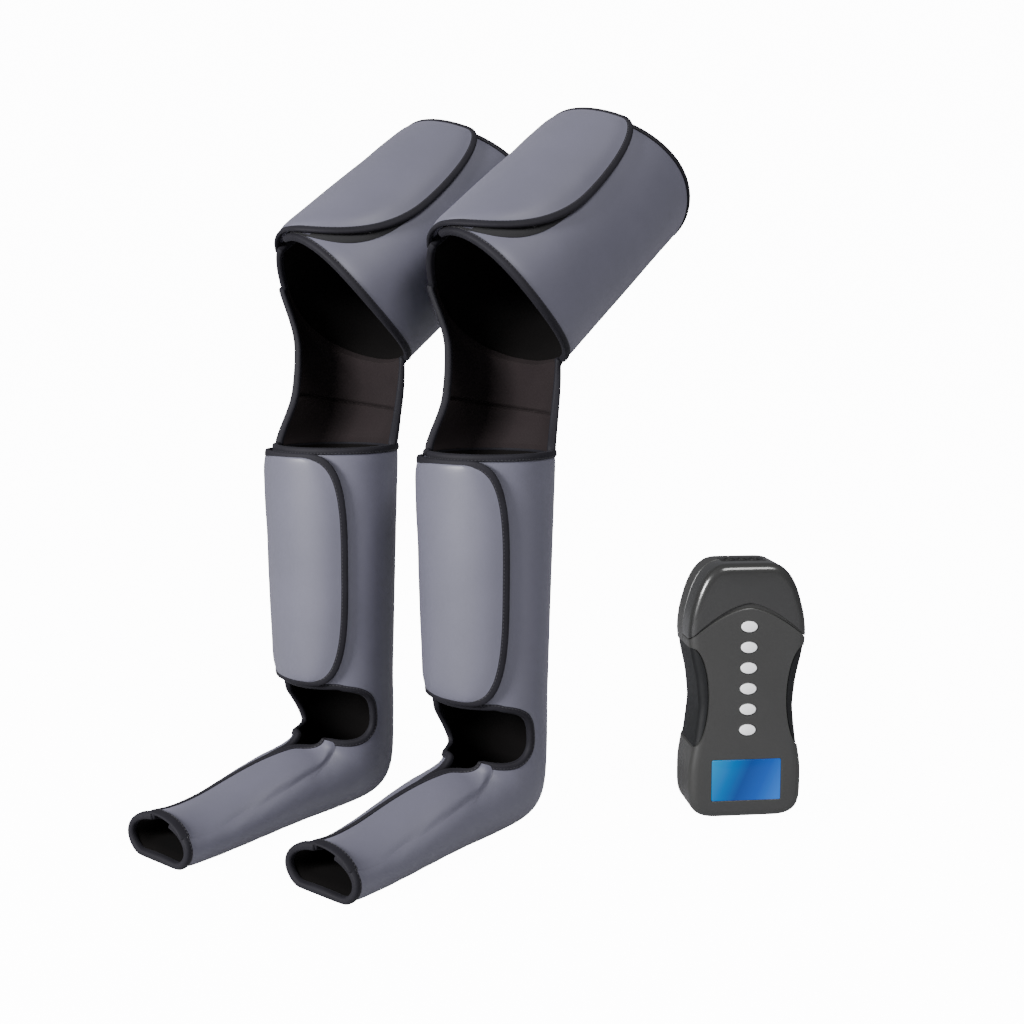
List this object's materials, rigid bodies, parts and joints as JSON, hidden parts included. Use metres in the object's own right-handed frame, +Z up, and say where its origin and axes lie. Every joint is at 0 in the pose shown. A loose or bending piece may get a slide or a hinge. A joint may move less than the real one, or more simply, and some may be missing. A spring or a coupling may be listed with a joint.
{
  "type": "air compression leg massager",
  "caption": "Pair of boot-shaped air compression leg wraps with thigh cuffs, bound flaps and open knees, with a hand controller that has oval keys and a lit display.",
  "frame": {"origin": "on the right wrap's flat sole, below the axis of its calf sleeve", "axes": "+Z up, -Y towards the toes, +X towards the side the controller stands on"},
  "size_m": [0.4991, 0.5828, 0.7426],
  "materials": {
    "shell_fabric": "woven, satin sheen",
    "lining_fabric": "brushed, matte",
    "binding_tape": "ribbed tape, matte",
    "bladder_film": "film-coated cloth, satin",
    "casing_plastic": "moulded, fine texture",
    "visor_plastic": "moulded, polished",
    "grip_rubber": "moulded, matte",
    "button_plastic": "moulded, satin",
    "display_glass": "polished",
    "board_laminate": "laminate",
    "silicone_rubber": "moulded, matte",
    "pump_metal": "cast, satin",
    "socket_plastic": "moulded, satin"
  },
  "bodies": {
    "root": {"right_calf_cover": "shell_fabric", "right_calf_lining": "lining_fabric", "right_calf_air_chamber": "bladder_film", "right_calf_rim_binding": "binding_tape", "right_air_inlet": "socket_plastic", "right_foot_cover": "shell_fabric", "right_foot_lining": "lining_fabric", "right_foot_air_chamber": "bladder_film", "right_ankle_binding": "binding_tape", "right_toe_binding": "binding_tape", "right_knee_panel": "lining_fabric", "left_calf_cover": "shell_fabric", "left_calf_lining": "lining_fabric", "left_calf_air_chamber": "bladder_film", "left_calf_rim_binding": "binding_tape", "left_air_inlet": "socket_plastic", "left_foot_cover": "shell_fabric", "left_foot_lining": "lining_fabric", "left_foot_air_chamber": "bladder_film", "left_ankle_binding": "binding_tape", "left_toe_binding": "binding_tape", "left_knee_panel": "lining_fabric", "front_casing": "casing_plastic", "top_visor": "visor_plastic", "rear_casing": "casing_plastic", "left_grip": "grip_rubber", "right_grip": "grip_rubber", "display_window": "display_glass", "hose_sockets": "socket_plastic", "display_module": "board_laminate", "keypad_mat": "silicone_rubber", "circuit_board": "board_laminate", "air_pump": "pump_metal", "valve_block": "socket_plastic"},
    "right_thigh": {"right_thigh_cover": "shell_fabric", "right_thigh_lining": "lining_fabric", "right_thigh_air_chamber": "bladder_film", "right_thigh_binding": "binding_tape"},
    "right_calf_flap": {"right_calf_flap": "shell_fabric", "right_calf_flap_binding": "binding_tape"},
    "right_foot_flap": {"right_foot_flap": "shell_fabric", "right_foot_flap_binding": "binding_tape"},
    "right_thigh_flap": {"right_thigh_flap": "shell_fabric", "right_thigh_flap_binding": "binding_tape"},
    "left_thigh": {"left_thigh_cover": "shell_fabric", "left_thigh_lining": "lining_fabric", "left_thigh_air_chamber": "bladder_film", "left_thigh_binding": "binding_tape"},
    "left_calf_flap": {"left_calf_flap": "shell_fabric", "left_calf_flap_binding": "binding_tape"},
    "left_foot_flap": {"left_foot_flap": "shell_fabric", "left_foot_flap_binding": "binding_tape"},
    "left_thigh_flap": {"left_thigh_flap": "shell_fabric", "left_thigh_flap_binding": "binding_tape"},
    "button_1": {"button_1": "button_plastic"},
    "button_2": {"button_2": "button_plastic"},
    "button_3": {"button_3": "button_plastic"},
    "button_4": {"button_4": "button_plastic"},
    "button_5": {"button_5": "button_plastic"},
    "button_6": {"button_6": "button_plastic"}
  },
  "joints": [
    {"name": "right_knee", "type": "hinge", "parent": "root", "child": "right_thigh", "pos_m": [0, 0.073, 0.42], "axis": [-1, 0, 0], "range_deg": [-45, 35], "deforming": ["right_knee_panel"]},
    {"name": "right_calf_flap_hinge", "type": "hinge", "parent": "root", "child": "right_calf_flap", "pos_m": [-0.05452, -0.03148, 0.2565], "axis": [0.0265, 0.0153, -0.9995], "range_deg": [0, 85]},
    {"name": "right_foot_flap_hinge", "type": "hinge", "parent": "root", "child": "right_foot_flap", "pos_m": [0.04272, -0.15425, 0.04803], "axis": [0.0192, 0.9978, 0.0642], "range_deg": [0, 100]},
    {"name": "right_thigh_flap_hinge", "type": "hinge", "parent": "right_thigh", "child": "right_thigh_flap", "pos_m": [-0.0592, 0.09117, 0.65856], "axis": [0, -0.8348, -0.5505], "range_deg": [0, 95]},
    {"name": "left_knee", "type": "hinge", "parent": "root", "child": "left_thigh", "pos_m": [-0.173, 0.027, 0.42], "axis": [-1, 0, 0], "range_deg": [-45, 35], "deforming": ["left_knee_panel"]},
    {"name": "left_calf_flap_hinge", "type": "hinge", "parent": "root", "child": "left_calf_flap", "pos_m": [-0.22752, -0.07748, 0.2565], "axis": [0.0265, 0.0153, -0.9995], "range_deg": [0, 85]},
    {"name": "left_foot_flap_hinge", "type": "hinge", "parent": "root", "child": "left_foot_flap", "pos_m": [-0.13028, -0.20025, 0.04803], "axis": [0.0192, 0.9978, 0.0642], "range_deg": [0, 100]},
    {"name": "left_thigh_flap_hinge", "type": "hinge", "parent": "left_thigh", "child": "left_thigh_flap", "pos_m": [-0.2322, 0.04517, 0.65856], "axis": [0, -0.8348, -0.5505], "range_deg": [0, 95]},
    {"name": "button_1_press", "type": "slide", "parent": "root", "child": "button_1", "axis": [-0.7071, 0.7071, 0], "range_m": [0, 0.001], "stiffness_N_per_m": 1500},
    {"name": "button_2_press", "type": "slide", "parent": "root", "child": "button_2", "axis": [-0.7071, 0.7071, 0], "range_m": [0, 0.001], "stiffness_N_per_m": 1500},
    {"name": "button_3_press", "type": "slide", "parent": "root", "child": "button_3", "axis": [-0.7071, 0.7071, 0], "range_m": [0, 0.001], "stiffness_N_per_m": 1500},
    {"name": "button_4_press", "type": "slide", "parent": "root", "child": "button_4", "axis": [-0.7071, 0.7071, 0], "range_m": [0, 0.001], "stiffness_N_per_m": 1500},
    {"name": "button_5_press", "type": "slide", "parent": "root", "child": "button_5", "axis": [-0.7071, 0.7071, 0], "range_m": [0, 0.001], "stiffness_N_per_m": 1500},
    {"name": "button_6_press", "type": "slide", "parent": "root", "child": "button_6", "axis": [-0.7071, 0.7071, 0], "range_m": [0, 0.001], "stiffness_N_per_m": 1500}
  ]
}
